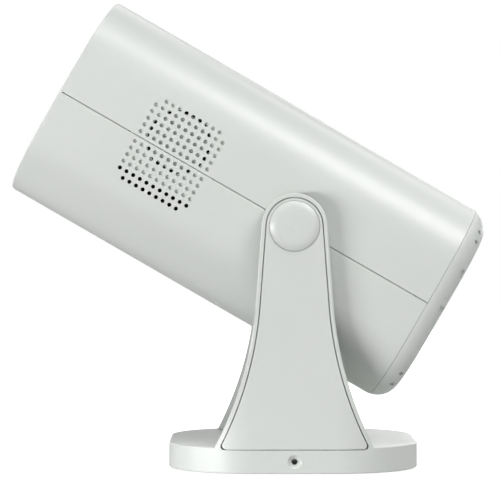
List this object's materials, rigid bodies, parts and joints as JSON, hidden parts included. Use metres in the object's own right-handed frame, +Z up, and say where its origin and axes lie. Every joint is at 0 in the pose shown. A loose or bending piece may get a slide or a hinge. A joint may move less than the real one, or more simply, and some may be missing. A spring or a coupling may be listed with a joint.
{
  "type": "portable projector",
  "caption": "Compact projector with a rounded square body, side speaker grilles and a focus ring, tilting in a two-armed yoke on a rounded square base.",
  "frame": {"origin": "mouth of the tripod thread, at the centre of the base on the floor", "axes": "+Z up; the lens end points towards -X and up, the rear end towards +X; +Y is the projector's right side seen from behind it; the pivot axis lies along Y"},
  "size_m": [0.2063, 0.1116, 0.2031],
  "materials": {
    "shell_plastic": "satin light grey-green",
    "white_nylon": "satin",
    "plain_steel": "zinc plated",
    "thread_brass": "machined",
    "foot_rubber": "matt",
    "screw_steel": "nickel plated",
    "black_gloss": "gloss black",
    "black_plastic": "matt black",
    "dark_window": "infrared-clear dark red",
    "clear_lens": "clear",
    "coated_lens": "purple anti-reflection coating",
    "lcd_glass": "dark display glass",
    "board_white": "white solder mask",
    "led_yellow": "phosphor",
    "heatsink_aluminium": "extruded",
    "board_green": "green solder mask",
    "chip_black": "matt",
    "ribbon_orange": "polyimide",
    "lead_black": "insulated wire",
    "socket_steel": "tinned",
    "speaker_grey": "light grey",
    "black_rubber": "matt"
  },
  "bodies": {
    "stand": {"yoke": "shell_plastic", "arm_cover_left": "shell_plastic", "arm_cover_right": "shell_plastic", "pivot_cap_left": "shell_plastic", "pivot_cap_right": "shell_plastic", "arm_bushings": "white_nylon", "bottom_plate": "shell_plastic", "ballast_plate": "plain_steel", "tripod_insert": "thread_brass", "rubber_feet": "foot_rubber", "base_screws": "screw_steel"},
    "projector": {"upper_shell": "shell_plastic", "lower_shell": "shell_plastic", "rear_cap": "shell_plastic", "front_bezel": "black_gloss", "front_frame": "black_plastic", "ir_window": "dark_window", "lens_mount": "black_plastic", "optics_housing": "black_plastic", "fresnel_front": "clear_lens", "lcd_panel": "lcd_glass", "fresnel_rear": "clear_lens", "condenser_holder": "black_plastic", "condenser_lens": "clear_lens", "led_board": "board_white", "led_emitter": "led_yellow", "heatsink": "heatsink_aluminium", "fan_frame": "black_plastic", "fan_screws": "screw_steel", "mainboard": "board_green", "mainboard_parts": "chip_black", "lcd_ribbon": "ribbon_orange", "speaker_leads": "lead_black", "port_board": "board_green", "port_board_screws": "screw_steel", "button_board": "board_green", "hinge_brackets": "plain_steel", "stub_shafts": "plain_steel", "hub_spacers": "shell_plastic", "friction_washers": "white_nylon", "stop_washers": "plain_steel", "spring_washers": "plain_steel", "pivot_screws": "screw_steel", "chassis_screws": "screw_steel", "corner_screws": "screw_steel", "hdmi_socket": "socket_steel", "usb_socket": "socket_steel", "dc_jack": "black_plastic", "audio_jack": "black_plastic", "speaker_frames": "speaker_grey", "speaker_cones": "speaker_grey", "speaker_surrounds": "black_rubber", "speaker_magnets": "plain_steel"},
    "focus_ring": {"focus_ring": "black_plastic"},
    "lens_barrel": {"lens_barrel": "black_plastic", "lens_front": "coated_lens", "lens_middle": "clear_lens", "lens_rear": "clear_lens"},
    "fan_rotor": {"fan_rotor": "black_plastic"},
    "power_button": {"power_button": "shell_plastic"}
  },
  "joints": [
    {"name": "tilt", "type": "hinge", "parent": "stand", "child": "projector", "pos_m": [0, 0, 0.1053], "axis": [0, 1, 0], "range_deg": [-30, 150]},
    {"name": "focus_turn", "type": "hinge", "parent": "projector", "child": "focus_ring", "pos_m": [0, 0, 0.1053], "axis": [0.866, 0, -0.5], "range_deg": [-60, 60]},
    {"name": "focus_slide", "type": "slide", "parent": "projector", "child": "lens_barrel", "axis": [0.866, 0, -0.5], "range_m": [-0.002, 0.002]},
    {"name": "fan_spin", "type": "hinge", "parent": "projector", "child": "fan_rotor", "pos_m": [0, 0, 0.1053], "axis": [0.866, 0, -0.5], "continuous": true},
    {"name": "power_press", "type": "slide", "parent": "projector", "child": "power_button", "axis": [-0.5, 0, -0.866], "range_m": [0, 0.0006], "stiffness_N_per_m": 600, "springref_m": -0.001}
  ],
  "couplings": [
    {"joint": "focus_turn", "follows": "focus_slide", "rad_per_m": 523.6}
  ]
}
